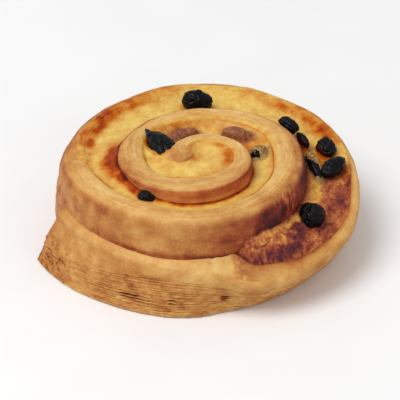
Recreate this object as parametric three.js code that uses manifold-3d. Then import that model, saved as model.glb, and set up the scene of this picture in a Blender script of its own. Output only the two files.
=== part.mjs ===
// A baked raisin and custard swirl: a sheet of laminated dough, spread with custard and raisins, rolled
// up, sliced, and baked lying on its cut face. The sheet shows as one spiral ridge of three turns, highest
// in the middle, and its outer end lies against the front as a flared tail. The custard fills the groove
// of the spiral down to the tray, and the raisins sit in it. Seen from above, the coil runs outwards
// clockwise.
//
// Millimetres, +Z up, the baked side down on z = 0, the front (with the tail) towards -Y.

import * as THREE from "three";
import { mergeVertices } from "three/addons/utils/BufferGeometryUtils.js";
import Module from "manifold-3d";

const wasm = await Module();
wasm.setup();

// The coil is measured in turns round its own middle. Turn 0 points to -X, a quarter to +Y, a half to +X.
const COIL_MIDDLE = { x: 0.3, y: -5.2 };
const FIRST_TURN = -0.14;
const TIP_TURNS = 0.07;
const TIP_SHARE = 0.25;
const TIP_DROP = 3;
const TAIL_FROM = 2.68;
const LAST_TURN = 2.963;
const STEPS_PER_TURN = 52;

// The ridge's top: its inner edge, its outer edge and its height, about every eighth of a turn.
const RIDGE = [
  [-0.14, 3.4, 9.6, 35.6],
  [0, 3.6, 11.2, 36.4],
  [0.125, 4.4, 9.6, 36.5],
  [0.25, 6.4, 11.2, 36.4],
  [0.375, 8.2, 12.8, 36.4],
  [0.5, 10.7, 16.2, 36.6],
  [0.625, 13.4, 20.6, 36.9],
  [0.75, 15.8, 24.9, 37.0],
  [0.875, 19.0, 27.3, 36.4],
  [1, 19.0, 27.4, 35.6],
  [1.125, 22.3, 28.2, 35.0],
  [1.25, 25.0, 31.4, 34.3],
  [1.375, 27.2, 34.6, 34.1],
  [1.5, 25.1, 33.7, 34.2],
  [1.625, 27.8, 34.9, 34.5],
  [1.75, 33.1, 37.8, 34.8],
  [1.875, 33.4, 39.2, 33.8],
  [2, 38.6, 45.4, 32.6],
  [2.0625, 42.4, 47.0, 32.4],
  [2.125, 45.2, 49.4, 32.2],
  [2.25, 50.4, 55.2, 31.8],
  [2.375, 52.7, 55.4, 29.4],
  [2.4375, 52.6, 54.9, 27.2],
  [2.5, 51.6, 54.4, 24.4],
  [2.5625, 50.8, 54.2, 19.4],
  [2.625, 47.4, 52.0, 16.8],
  [2.665, 44.8, 50.0, 16.2],
  [2.687, 43.6, 48.6, 16.6],
  [2.704, 38.2, 46.6, 17.8],
  [2.75, 36.8, 43.0, 19.6],
  [2.8125, 37.2, 42.6, 19.4],
  [2.875, 38.4, 44.2, 19.8],
  [2.92, 40.0, 46.4, 20.2],
  [2.963, 42.4, 50.0, 20.2],
];

// How the rest of the section changes along the coil, as [turn, size].
const RISE_ACROSS_RIDGE = [
  [0, 0], [1, 0.8], [1.25, 0.8], [1.5, 0.6], [1.75, -0.4], [2.5, 0], [2.625, -1.2], [2.665, -3],
  [2.682, -4], [2.702, -6], [2.75, -4.4], [2.81, -2.4], [2.875, -1.6], [2.963, -1],
];
const SHOULDER_OUT = [
  [0, 0.8], [1, 1], [1.375, 2.4], [1.5, 3.2], [1.75, 1.6], [2, 3.2], [2.0625, 2], [2.125, 1.4],
  [2.25, 0.8], [2.963, 0.8],
];
const SHOULDER_DROP = [
  [0, 1.4], [1, 2], [1.375, 5], [1.5, 7], [1.75, 5], [2, 7], [2.25, 4], [2.5, 3], [2.963, 2.4],
];
const SHOULDER_STEPS = 3;
const INNER_EDGE_ROUND = 0.8;
const INNER_EDGE_STRIP = 6;
const BULGE = [[0, 0], [1.5, 0.4], [1.8, 0.8], [2, 1.8], [2.125, 1.4], [2.25, 0.8], [2.5, 0.4], [2.963, 0]];

// Where the outer lap's outer face meets the tray: it curls in under the right side and flares out at
// the tail.
const FOOT = [
  [1.9, 42], [1.96, 46], [2, 48.8], [2.0625, 50], [2.125, 50.6], [2.25, 53.4], [2.375, 54.4],
  [2.47, 53.2], [2.5, 51.8], [2.53, 48.8], [2.5625, 45.8], [2.6, 43.2], [2.625, 42.8], [2.6875, 42.4],
  [2.72, 42.8], [2.75, 44.6], [2.78, 46], [2.82, 47.2], [2.86, 49.2], [2.9, 52], [2.938, 55.6], [2.963, 58],
];
const FOOT_FROM = 1.9;
const FOOT_FULL_FROM = 1.96;
const SHEET_AT_FOOT = 4.4;

// The custard's height against the lap outside it and the lap inside it, by the outer lap's turn.
const CUSTARD_HIGH = [
  [1, 34.2], [1.25, 32], [1.5, 33], [1.75, 34.2], [2, 31.4], [2.25, 30.4], [2.375, 28], [2.5, 23],
  [2.5625, 18.8], [2.625, 16.4], [2.665, 16.6], [2.69, 17.2], [2.7, 15], [2.74, 10],
];
const CUSTARD_LOW = [
  [1, 33.6], [1.25, 30], [1.5, 31], [1.75, 31.6], [1.85, 32.6], [1.92, 34.2], [2.02, 34.2],
  [2.125, 31.6], [2.25, 30], [2.375, 28], [2.5, 25.4], [2.5625, 23.4], [2.625, 24.4], [2.67, 24.4],
  [2.69, 22.6], [2.74, 12],
];
const CUSTARD_LAST_TURN = 2.74;
const CUSTARD_DISH = 0.5;

// The custard pool in the middle: its level, its level at the dough round it, and its shallow dish.
const POOL_LEVEL = 35.4;
const POOL_EDGE = [[0, 34.6], [0.5, 34.6], [0.75, 34.8], [1, 33.8], [1.12, 33.2]];
const POOL_DISH = 0.5;
const POOL_DISH_RADIUS = 10;
const POOL_OVERLAP = 0.12;
const POOL_OVERLAP_DEPTH = 3;
const POOL_STEPS = 48;
const POOL_RINGS = [0.35, 0.7, 1];

// Flaky layers round the foot of the outer lap.
const LAYERS_FROM = 1.98;
const LAYERS_FULL_FROM = 2.08;
const LAYER_STEP = 2.7;
const LAYER_DEPTH = 0.45;
const LAYERS = 5;

// The air between neighbouring pieces, the distance within which corners are joined, and the size below
// which steps that cutting leaves are smoothed away.
const GAP = 0.3;
const MERGE_DISTANCE = 0.001;
const SMALLEST_STEP = 0.02;

// Each raisin: its middle as [turn, radius, height], half sizes along its own axes, and its lean about X, Y
// and Z in degrees. The turn is only its direction from the coil's middle.
const RAISINS = [
  { at: [0.245, 39.4, 33.0], half: [5.8, 3.8, 4.2], lean: [20, 0, 0] },
  { at: [0.394, 40.2, 31.4], half: [4.2, 2.6, 2.5], lean: [0, 20, -35] },
  { at: [0.425, 40.6, 29.4], half: [3.9, 1.2, 1.7], lean: [0, 25, -58] },
  { at: [0.444, 47.2, 27.6], half: [3.4, 4.4, 3.0], lean: [10, 0, 20] },
  { at: [0.486, 46.4, 27.2], half: [5.6, 3.0, 2.8], lean: [0, -12, 43] },
  { at: [0.479, 39.2, 27.0], half: [5.6, 1.9, 2.1], lean: [12, 5, -73] },
  { at: [0.574, 41.8, 22.4], half: [4.5, 4.9, 4.6], lean: [0, 0, 15] },
  { at: [0.853, 29.2, 32.6], half: [3.1, 2.7, 2.5], lean: [0, 15, -25] },
  { at: [0.056, 15.4, 35.2], half: [6.6, 3.4, 2.8], lean: [8, 0, -68] },
  { at: [0.196, 18.9, 31.2], half: [5.0, 2.6, 2.4], lean: [0, -6, 22] },
  { at: [0.352, 21.5, 31.6], half: [5.2, 2.9, 2.9], lean: [0, 8, -16] },
  { at: [0.462, 20.6, 32.2], half: [3.4, 2.5, 2.1], lean: [0, 0, 50] },
];
const RAISIN_CREASES = 5;
const RAISIN_CREASE_DEPTH = 0.07;
const RAISIN_DENT_DEPTH = 0.04;

const COLOURS = { dough: 0xc68a48, custard: 0xe0b055, raisin: 0x241f22 };

const { clamp, degToRad, lerp, smoothstep } = THREE.MathUtils;

// A smooth curve through [turn, size] stations; column picks the size.
function along(stations, turn, column = 1) {
  const last = stations.length - 1;
  const x = clamp(turn, stations[0][0], stations[last][0]);
  let i = 0;
  while (i < last - 1 && x > stations[i + 1][0]) i++;
  const slope = (k) => {
    const a = Math.max(k - 1, 0);
    const b = Math.min(k + 1, last);
    return (stations[b][column] - stations[a][column]) / (stations[b][0] - stations[a][0]);
  };
  const width = stations[i + 1][0] - stations[i][0];
  const s = (x - stations[i][0]) / width;
  const rise = stations[i + 1][column] - stations[i][column];
  const early = slope(i) * width - rise;
  const late = rise - slope(i + 1) * width;
  return stations[i][column] + s * rise + s * (1 - s) * ((1 - s) * early + s * late);
}

const innerEdge = (turn) => along(RIDGE, turn, 1);
const outerEdge = (turn) => along(RIDGE, turn, 2);
const ridgeHeight = (turn) => along(RIDGE, turn, 3);
const middleOf = (turn) => (innerEdge(turn) + outerEdge(turn)) / 2;

function pointAt(turn, radius, height) {
  const angle = Math.PI - 2 * Math.PI * turn;
  return new THREE.Vector3(
    COIL_MIDDLE.x + radius * Math.cos(angle),
    COIL_MIDDLE.y + radius * Math.sin(angle),
    height,
  );
}

// A quarter of an ellipse from [0, 0] to [out, -drop], without its first point.
function shoulder(out, drop, steps) {
  return Array.from({ length: steps }, (_, k) => {
    const a = ((k + 1) / steps) * (Math.PI / 2);
    return [out * Math.sin(a), -drop * (1 - Math.cos(a))];
  });
}

// The ridge's inner tip is rounded off: the share of its full size at a turn.
function tipRound(turn) {
  const gone = clamp((turn - FIRST_TURN) / TIP_TURNS, 0, 1);
  return TIP_SHARE + (1 - TIP_SHARE) * Math.sqrt(1 - (1 - gone) ** 2);
}

// The outer face's radius on the tray; the inner laps stand upright below their shoulder at faceRadius.
function footRadius(turn, faceRadius) {
  const share = smoothstep(turn, FOOT_FROM, FOOT_FULL_FROM);
  return lerp(faceRadius, along(FOOT, turn), share);
}

// The dough's section at a turn, as [radius, height] from the inner foot over the ridge to the outer foot.
// grow makes it larger all round, for cutting the custard clear of it.
function doughSection(turn, grow) {
  const round = tipRound(turn);
  const middle = middleOf(turn);
  const half = ((outerEdge(turn) - innerEdge(turn)) / 2) * round + grow;
  const rise = along(RISE_ACROSS_RIDGE, turn) / 2;
  const top = ridgeHeight(turn) - TIP_DROP * (1 - round) + grow;
  const inner = middle - half;
  const outer = middle + half;
  const points = [
    [inner, -grow],
    [inner, top - rise - INNER_EDGE_STRIP],
    [inner, top - rise - INNER_EDGE_ROUND],
    [inner + half * 0.18, top - rise - INNER_EDGE_ROUND * 0.35],
    [middle - half * 0.35, top - rise * 0.35],
    [middle + half * 0.35, top + rise * 0.35],
    [outer - half * 0.08, top + rise - 0.4],
  ];
  const edge = points[points.length - 1];
  for (const [out, drop] of shoulder(along(SHOULDER_OUT, turn), along(SHOULDER_DROP, turn), SHOULDER_STEPS))
    points.push([edge[0] + out, edge[1] + drop]);
  const face = points[points.length - 1];
  const foot = footRadius(turn, face[0] - grow) + grow;
  const layered = smoothstep(turn, LAYERS_FROM, LAYERS_FULL_FROM);
  for (let level = LAYERS - 1; level >= 0; level--) {
    const height = Math.min(level * LAYER_STEP, face[1] - 1);
    const up = height / face[1];
    const layer = layered * LAYER_DEPTH * (level % 2 ? 1 : -1);
    const bulge = along(BULGE, turn) * Math.sin(Math.PI * up);
    points.push([lerp(foot, face[0], up) + bulge + layer, level ? height : -grow]);
  }
  points[0][0] = Math.min(inner, foot - 2 * grow - SHEET_AT_FOOT);
  return points;
}

// A closed body swept round the coil between two turns, from a section for each turn.
function sweep(sectionAt, from, to) {
  const steps = Math.ceil((to - from) * STEPS_PER_TURN);
  const rings = Array.from({ length: steps + 1 }, (_, k) => {
    const turn = from + ((to - from) * k) / steps;
    return { turn, section: sectionAt(turn) };
  });
  const count = rings[0].section.length;
  const positions = rings.flatMap(({ turn, section }) =>
    section.flatMap(([radius, height]) => pointAt(turn, radius, height).toArray()),
  );
  const faces = [];
  for (let k = 0; k < steps; k++)
    for (let j = 0; j < count; j++) {
      const a = k * count + j;
      const b = k * count + ((j + 1) % count);
      faces.push(a, b + count, b, a, a + count, b + count);
    }
  const cap = (ring) => {
    const outline = ring.section.map(([radius, height]) => new THREE.Vector2(radius, height));
    return THREE.ShapeUtils.triangulateShape(outline, []);
  };
  for (const [a, b, c] of cap(rings[0])) faces.push(a, c, b);
  const end = steps * count;
  for (const [a, b, c] of cap(rings[steps])) faces.push(end + a, end + b, end + c);
  return geometryOf(positions, faces);
}

function geometryOf(positions, faces) {
  const geometry = new THREE.BufferGeometry();
  geometry.setAttribute("position", new THREE.Float32BufferAttribute(positions, 3));
  geometry.setIndex(faces);
  return geometry;
}

// A geometry as a solid for joining and cutting.
function solidOf(geometry, matrix = new THREE.Matrix4()) {
  const bare = new THREE.BufferGeometry();
  const source = geometry.index ? geometry.toNonIndexed() : geometry;
  bare.setAttribute("position", source.getAttribute("position").clone());
  const merged = mergeVertices(bare.applyMatrix4(matrix), MERGE_DISTANCE);
  const vertProperties = merged.attributes.position.array;
  const triVerts = new Uint32Array(merged.index.array);
  return new wasm.Manifold(new wasm.Mesh({ numProp: 3, vertProperties, triVerts }));
}

// The largest body of a solid as a geometry; scraps that cutting leaves are dropped.
function geometryFrom(solid) {
  const bodies = solid.simplify(SMALLEST_STEP).decompose();
  const mesh = bodies.reduce((a, b) => (a.volume() > b.volume() ? a : b)).getMesh();
  return geometryOf(Array.from(mesh.vertProperties), Array.from(mesh.triVerts));
}

// The coil is swept in two lengths that meet where the tail comes to lie against the lap inside it, so that
// neither length touches itself.
function coilSolid(grow) {
  const sectionAt = (turn) => doughSection(turn, grow);
  const coil = solidOf(sweep(sectionAt, FIRST_TURN, TAIL_FROM));
  return coil.add(solidOf(sweep(sectionAt, TAIL_FROM, LAST_TURN)));
}

// The custard between two laps, reaching to the middle of the dough on each side. Its first stretch starts
// low, under the pool, and rises through it.
function custardSection(turn) {
  const inside = middleOf(turn - 1);
  const outside = middleOf(turn);
  const wall = outerEdge(turn - 1) + along(SHOULDER_OUT, turn - 1);
  const rim = Math.max(innerEdge(turn), wall + 1);
  const sunk = POOL_OVERLAP_DEPTH * (1 - smoothstep(turn, 1, 1 + POOL_OVERLAP));
  const low = along(CUSTARD_LOW, turn) - sunk;
  const high = along(CUSTARD_HIGH, turn) - sunk;
  const top = [0, 0.2, 0.5, 0.8, 1].map((w) => [
    lerp(wall, rim, w),
    lerp(low, high, w) - CUSTARD_DISH * 4 * w * (1 - w),
  ]);
  const foot = Math.min(outside, footRadius(turn, outside) - SHEET_AT_FOOT / 2);
  return [[inside, 0], [inside, low], ...top, [Math.max(outside, rim + 1), high], [foot, 0]];
}

// The pool's surface: a shallow dish in the middle, and its own level round the edge.
function poolHeight(turn, radius) {
  const dish = POOL_DISH * (1 - smoothstep(radius, 0, POOL_DISH_RADIUS));
  const towardsEdge = smoothstep(radius, POOL_DISH_RADIUS, 2 * POOL_DISH_RADIUS);
  return POOL_LEVEL - dish + (along(POOL_EDGE, turn) - POOL_LEVEL) * towardsEdge;
}

// The pool in the middle of the first turn: a dished disc out to the dough round it. It runs on a little
// past the full turn, under the start of the custard between the laps.
function poolGeometry() {
  const positions = [...pointAt(0, 0, poolHeight(0, 0)).toArray(), ...pointAt(0, 0, 0).toArray()];
  for (let k = 0; k < POOL_STEPS; k++) {
    const turn = POOL_OVERLAP + k / POOL_STEPS;
    const reach = middleOf(turn);
    for (const share of POOL_RINGS) {
      const radius = reach * share;
      positions.push(...pointAt(turn, radius, poolHeight(turn, radius)).toArray());
    }
    positions.push(...pointAt(turn, reach, 0).toArray());
  }
  const count = POOL_RINGS.length + 1;
  const faces = [];
  for (let k = 0; k < POOL_STEPS; k++) {
    const a = 2 + k * count;
    const b = 2 + ((k + 1) % POOL_STEPS) * count;
    faces.push(0, b, a);
    for (let j = 0; j < count - 1; j++)
      faces.push(a + j, b + j, b + j + 1, a + j, b + j + 1, a + j + 1);
    faces.push(a + count - 1, b + count - 1, 1);
  }
  return geometryOf(positions, faces);
}

// A creased ball, stretched to a raisin's half sizes.
function raisinGeometry([a, b, c], seed, grow = 0) {
  const ball = new THREE.SphereGeometry(1, 14, 9);
  const position = ball.getAttribute("position");
  const point = new THREE.Vector3();
  for (let i = 0; i < position.count; i++) {
    point.fromBufferAttribute(position, i);
    const round = Math.atan2(point.z, point.x);
    const crease = Math.sin(RAISIN_CREASES * round + seed + 2 * point.y) * (1 - point.y * point.y);
    const dent = Math.sin(3 * point.y + seed);
    point.multiplyScalar(1 + RAISIN_CREASE_DEPTH * crease - RAISIN_DENT_DEPTH * dent);
    position.setXYZ(i, point.x * (a + grow), point.y * (b + grow), point.z * (c + grow));
  }
  return ball;
}

function materialOf(colour, roughness) {
  return new THREE.MeshStandardMaterial({ color: colour, roughness, metalness: 0 });
}

const swirl = new THREE.Group();

// Raisins first, as their pockets are cut from the dough and the custard.
const pockets = RAISINS.map(({ at, half, lean }, k) => {
  const mesh = new THREE.Mesh(raisinGeometry(half, k), materialOf(COLOURS.raisin, 0.45));
  mesh.name = `raisin_${String(k + 1).padStart(2, "0")}`;
  mesh.position.copy(pointAt(...at));
  mesh.rotation.set(...lean.map(degToRad));
  mesh.updateMatrix();
  swirl.add(mesh);
  return solidOf(raisinGeometry(half, k, GAP), mesh.matrix);
});
const clearOfRaisins = (solid) => pockets.reduce((left, pocket) => left.subtract(pocket), solid);

const dough = new THREE.Mesh(geometryFrom(clearOfRaisins(coilSolid(0))), materialOf(COLOURS.dough, 0.5));
dough.name = "dough_coil";
swirl.add(dough);

const filling = solidOf(poolGeometry()).add(solidOf(sweep(custardSection, 1, CUSTARD_LAST_TURN)));
const custard = new THREE.Mesh(
  geometryFrom(clearOfRaisins(filling.subtract(coilSolid(GAP)))),
  materialOf(COLOURS.custard, 0.4),
);
custard.name = "custard_filling";
swirl.add(custard);

export default swirl;
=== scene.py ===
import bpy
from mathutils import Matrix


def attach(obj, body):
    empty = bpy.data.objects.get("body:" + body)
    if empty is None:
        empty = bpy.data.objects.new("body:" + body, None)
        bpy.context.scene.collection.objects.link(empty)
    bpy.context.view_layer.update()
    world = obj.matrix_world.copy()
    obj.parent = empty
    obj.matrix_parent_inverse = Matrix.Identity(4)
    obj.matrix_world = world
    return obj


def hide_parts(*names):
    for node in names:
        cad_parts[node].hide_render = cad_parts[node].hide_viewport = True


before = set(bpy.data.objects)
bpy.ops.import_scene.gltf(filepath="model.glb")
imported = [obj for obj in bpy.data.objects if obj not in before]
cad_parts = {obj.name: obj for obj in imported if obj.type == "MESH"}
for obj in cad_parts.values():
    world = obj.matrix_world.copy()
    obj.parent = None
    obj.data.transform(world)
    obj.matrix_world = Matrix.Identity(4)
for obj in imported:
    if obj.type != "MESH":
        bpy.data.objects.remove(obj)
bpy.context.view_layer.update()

from types import SimpleNamespace

import bmesh
import bpy
import numpy as np
from mathutils import Euler, Vector

# The baked custard and raisin swirl, dressed in the frame of its solids. The dough, the custard and the
# raisins are shaped again, finer: the layers in the pale cut edge of the dough, its browned faces, the
# flaky foot of the tail, the wrinkled caramel at the right, and the creases of the raisins. Lengths are in
# millimetres until the meshes are made.

MM = 0.001

# The coil is measured in turns round its own middle. Turn 0 points to -X, a quarter to +Y, a half to +X.
COIL_MIDDLE = (0.3, -5.2)
FIRST_TURN = -0.14
TIP_TURNS = 0.07
TIP_SHARE = 0.2
TIP_DROP = 0.1
LAST_TURN = 2.963

# The ridge's top: its inner edge, its outer edge and its height, about every eighth of a turn.
RIDGE = [
    [-0.14, 2.4, 10.4, 36.5],
    [0, 3.1, 11.2, 36.6],
    [0.125, 4.4, 9.6, 36.5],
    [0.25, 6.4, 11.2, 36.4],
    [0.375, 8.2, 12.8, 36.4],
    [0.5, 10.7, 16.2, 36.6],
    [0.625, 13.4, 20.6, 36.9],
    [0.75, 15.8, 24.9, 37.0],
    [0.875, 19.0, 27.3, 36.4],
    [1, 19.0, 27.4, 35.6],
    [1.125, 22.3, 28.2, 35.0],
    [1.25, 25.0, 31.4, 34.3],
    [1.375, 27.2, 34.6, 34.1],
    [1.5, 25.1, 33.7, 34.2],
    [1.625, 27.8, 34.9, 34.5],
    [1.75, 33.1, 37.8, 34.8],
    [1.875, 33.4, 39.2, 33.8],
    [2, 38.6, 45.4, 32.6],
    [2.0625, 42.4, 47.0, 32.4],
    [2.125, 45.2, 49.4, 32.2],
    [2.25, 50.4, 55.2, 31.8],
    [2.375, 52.7, 55.4, 29.4],
    [2.4375, 52.6, 54.9, 27.2],
    [2.5, 51.6, 54.4, 24.4],
    [2.5625, 50.8, 54.2, 19.4],
    [2.625, 47.4, 52.0, 16.8],
    [2.665, 44.8, 50.0, 16.2],
    [2.687, 43.6, 48.6, 16.6],
    [2.704, 38.2, 46.6, 17.8],
    [2.75, 36.8, 43.0, 19.6],
    [2.8125, 37.2, 42.6, 19.4],
    [2.875, 38.4, 44.2, 19.8],
    [2.92, 40.0, 46.4, 20.2],
    [2.963, 42.4, 49.4, 20.2],
]

# How the rest of the section changes along the coil, as [turn, size].
RISE_ACROSS_RIDGE = [
    [0, 0], [1, 0.8], [1.25, 0.8], [1.5, 0.6], [1.75, -0.4], [2.5, 0], [2.625, -1.2], [2.665, -3],
    [2.682, -4], [2.702, -6], [2.75, -4.4], [2.81, -2.4], [2.875, -1.6], [2.963, -1],
]
SHOULDER_OUT = [
    [0, 0.8], [1, 1], [1.375, 2.4], [1.5, 3.2], [1.75, 1.6], [2, 3.2], [2.0625, 2], [2.125, 1.4],
    [2.25, 0.8], [2.963, 0.8],
]
SHOULDER_DROP = [
    [0, 1.4], [1, 2], [1.375, 5], [1.5, 7], [1.75, 5], [2, 7], [2.25, 4], [2.5, 3], [2.963, 2.4],
]
BULGE = [
    [0, 0], [1.5, 0.4], [1.8, 0.8], [2, 1.8], [2.125, 1.4], [2.25, 0.8], [2.5, 0.4], [2.86, 0], [2.92, 0.5],
    [2.963, 1.2],
]
INNER_EDGE_DROP = 0.8
INNER_EDGE_STRIP = 6
INNER_EDGE_ROUND = 1.5
CREST_CROWN = 0.3
EDGE_SOFTENING = 0.4
FLAT_TOP_SHARE = 0.92

# At its end the tail's top climbs into the lap inside it, so that no crease shows there.
TAIL_CLIMB = [[2.86, 0], [2.88, 0.4], [2.9, 1.6], [2.92, 3.2], [2.94, 5.2], [2.963, 7]]

# Where the outer lap's outer face meets the tray: it curls in under the right side and flares at the tail.
FOOT = [
    [1.9, 42], [1.96, 46], [2, 48.8], [2.0625, 50], [2.125, 50.6], [2.25, 53.4], [2.375, 54.4],
    [2.47, 53.2], [2.5, 51.8], [2.53, 48.8], [2.5625, 45.8], [2.6, 43.2], [2.625, 42.8], [2.6875, 42.4],
    [2.72, 42.8], [2.75, 44.6], [2.78, 46], [2.82, 47.2], [2.86, 49], [2.9, 51.6], [2.938, 54.4],
    [2.963, 56.2],
]
# The tail's end spreads a little further just above the tray.
TOE = [[2.86, 0], [2.92, 1], [2.963, 1.9]]
TOE_HEIGHT = 1.8
FOOT_FROM = 1.9
FOOT_FULL_FROM = 1.96
SHEET_AT_FOOT = 4.4

# The custard's height against the lap outside it and the lap inside it, by the outer lap's turn.
CUSTARD_HIGH = [
    [1, 34.2], [1.25, 32], [1.5, 33], [1.75, 34.2], [2, 31.4], [2.25, 30.4], [2.375, 28], [2.5, 23],
    [2.5625, 18.8], [2.625, 16.4], [2.665, 16.6], [2.69, 17.2], [2.7, 15], [2.74, 10],
]
CUSTARD_LOW = [
    [1, 33.6], [1.25, 30], [1.5, 31], [1.75, 31.6], [1.85, 32.6], [1.92, 34.2], [2.02, 34.2], [2.125, 31.6],
    [2.25, 30], [2.375, 28], [2.5, 25.4], [2.5625, 23.4], [2.625, 24.4], [2.67, 24.4], [2.69, 22.6],
    [2.74, 12],
]
CUSTARD_LAST_TURN = 2.74
CUSTARD_DISH = 0.5
POOL_LEVEL = 35.5
POOL_EDGE = [[0, 34.6], [0.5, 34.6], [0.75, 34.8], [1, 33.8], [1.12, 33.2]]
POOL_DISH = 0.5
POOL_DISH_RADIUS = 10
HOOK_REACH = 1.5
POOL_OVERLAP = 0.12
POOL_OVERLAP_DEPTH = 3

# Each raisin: its middle as [turn, radius, height], half sizes along its own axes and its lean about X, Y
# and Z in degrees. cover is how much of it the custard's skin covers, and skin that skin's tone. bare
# points, seen from above, to the side that the skin leaves free, from bare_from half widths off its middle.
# pulls are its corners: a direction and how far. red is how much of it is reddish.
RAISINS = [
    {"at": [0.245, 39.4, 33.0], "half": [5.8, 3.8, 4.2], "lean": [20, 0, 0], "cover": 0},
    {"at": [0.394, 40.2, 31.4], "half": [4.2, 2.6, 2.5], "lean": [0, 20, -35], "cover": 0},
    {"at": [0.425, 40.6, 29.4], "half": [3.9, 1.2, 1.7], "lean": [0, 25, -58], "cover": 0, "red": 0.7},
    {"at": [0.444, 47.2, 27.6], "half": [3.4, 4.4, 3.0], "lean": [10, 0, 20], "cover": 0, "red": 0.9},
    {"at": [0.486, 46.0, 27.2], "half": [5.9, 3.2, 2.9], "lean": [0, -12, 43], "cover": 0},
    {"at": [0.479, 39.6, 27.2], "half": [6.2, 2.1, 2.2], "lean": [12, 5, -73], "cover": 0.45,
     "skin": "olive", "bare": [-0.8, -0.6]},
    {"at": [0.574, 41.8, 22.4], "half": [4.5, 4.9, 4.6], "lean": [0, 0, 15], "cover": 0},
    {"at": [0.853, 29.2, 32.6], "half": [3.1, 2.7, 2.5], "lean": [0, 15, -25], "cover": 0},
    {"at": [0.056, 15.4, 35.3], "half": [7.2, 3.7, 3.0], "lean": [8, 0, -68], "cover": 0,
     "pulls": [
         [-0.55, 0.8, 0.2, 2.4], [0.15, -0.95, 0.0, 1.8], [0.9, 0.0, 0.3, 2.2], [-0.85, -0.5, 0.0, -1.0],
     ]},
    {"at": [0.204, 18.9, 31.2], "half": [4.6, 2.6, 2.4], "lean": [0, -6, 22], "cover": 0.75,
     "skin": "mauve"},
    {"at": [0.352, 21.5, 31.6], "half": [5.2, 2.9, 2.9], "lean": [0, 8, -16], "cover": 0.85,
     "skin": "mauve"},
    {"at": [0.462, 20.6, 32.3], "half": [3.5, 2.6, 2.2], "lean": [0, 0, 50], "cover": 0.6,
     "skin": "olive", "bare": [-0.1, -1.0], "bare_from": 0.5},
]

# The dough's mesh: rings this far apart, and how many columns each part of its section has.
RING_STEP = 0.52
WALL_COLUMNS = 5
EDGE_COLUMNS = 5
CREST_COLUMNS = 17
SHOULDER_COLUMNS = 8
UPPER_FACE_COLUMNS = 12
LAYERS = 14
BASE_COLUMNS = 5
PARTS = ("wall", "crest", "shoulder", "face", "base")

# About how far the outer lap is from the coil's middle.
OUTER_LAP_RADIUS = 48

# How far down the face shows above the custard, as [turn, depth]; most of the face's columns go there.
SHOWN_DEPTH = [[0.4, 4], [0.6, 6], [1, 5], [1.3, 6], [1.45, 12], [1.65, 18], [1.92, 20], [1.955, 32]]
SHOWN_SHARE = 0.86
OUTER_LAP_FROM = 1.94
OUTER_LAP_FULL_FROM = 1.99

# The flaky foot: how high its layers reach and how deep their relief is, as [turn, size].
LAYERS_TOP = [
    [2, 15], [2.3, 14], [2.45, 11], [2.55, 9], [2.66, 10], [2.74, 13], [2.82, 13], [2.88, 10.5], [2.93, 8],
    [2.963, 7],
]
LAYER_RELIEF = [
    [1.97, 0], [2.03, 0.45], [2.3, 0.5], [2.5, 0.4], [2.6, 0.4], [2.7, 0.6], [2.8, 0.7], [2.9, 0.5],
    [2.963, 0.5],
]

# Each layer has four columns: where they lie in it, how far they are cut back, and which are at its edges.
COLUMNS_WITHIN_LAYER = np.array([0.06, 0.34, 0.66, 0.94])
CUT_BACK = np.array([-0.42, 0.08, 0.05, -0.3])
AT_LAYER_EDGE = [1.0, 0.0, 0.0, 1.0]

# Dark slits between the flaky layers: turn, half length in turns, height and depth.
SLITS = [
    [2.836, 0.012, 5.2, 1.3],
    [2.818, 0.008, 4.6, 1.0],
    [2.783, 0.004, 5.6, 1.0],
    [2.722, 0.004, 7.2, 0.9],
]
SLIT_HALF_HEIGHT = 0.8


def along(stations, turn, column=1):
    """A smooth curve through [turn, size] stations; column picks the size."""
    table = np.array(stations, float)
    x, y = table[:, 0], table[:, column]
    last = len(x) - 1
    before = np.maximum(np.arange(len(x)) - 1, 0)
    after = np.minimum(np.arange(len(x)) + 1, last)
    slope = (y[after] - y[before]) / (x[after] - x[before])
    turn = np.clip(turn, x[0], x[-1])
    i = np.clip(np.searchsorted(x, turn) - 1, 0, last - 1)
    width = x[i + 1] - x[i]
    s = (turn - x[i]) / width
    rise = y[i + 1] - y[i]
    early = slope[i] * width - rise
    late = rise - slope[i + 1] * width
    return y[i] + s * rise + s * (1 - s) * ((1 - s) * early + s * late)


def smooth(x, low, high):
    """From 0 at low to 1 at high, with level ends."""
    s = np.clip((x - low) / (high - low), 0, 1)
    return s * s * (3 - 2 * s)


def mix(a, b, share):
    return a + (b - a) * share


def hump(x, middle, half_width):
    """1 at the middle, falling smoothly to nothing about two half widths away."""
    return np.exp(-(((x - middle) / half_width) ** 2))


def between(x, low, full, still, high):
    """Rises from 0 at low to 1 at full, and falls again from still to high."""
    return smooth(x, low, full) * (1 - smooth(x, still, high))


def fade(distance, reach):
    """1 where there is no distance, falling off over about reach."""
    return np.exp(-np.maximum(distance, 0) / reach)


def place(turn, radius, height):
    angle = np.pi - 2 * np.pi * turn
    x = COIL_MIDDLE[0] + radius * np.cos(angle)
    y = COIL_MIDDLE[1] + radius * np.sin(angle)
    return np.stack(np.broadcast_arrays(x, y, height), -1)


def inner_edge(turn):
    return along(RIDGE, turn, 1)


def outer_edge(turn):
    return along(RIDGE, turn, 2)


def ridge_middle(turn):
    return (inner_edge(turn) + outer_edge(turn)) / 2


def ridge_half(turn):
    return (outer_edge(turn) - inner_edge(turn)) / 2


def ridge_height(turn):
    return along(RIDGE, turn, 3)


random = np.random.default_rng(7)
LATTICE = random.permutation(256)
SLOPES = random.normal(size=(256, 3))
SLOPES /= np.linalg.norm(SLOPES, axis=1, keepdims=True)


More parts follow.
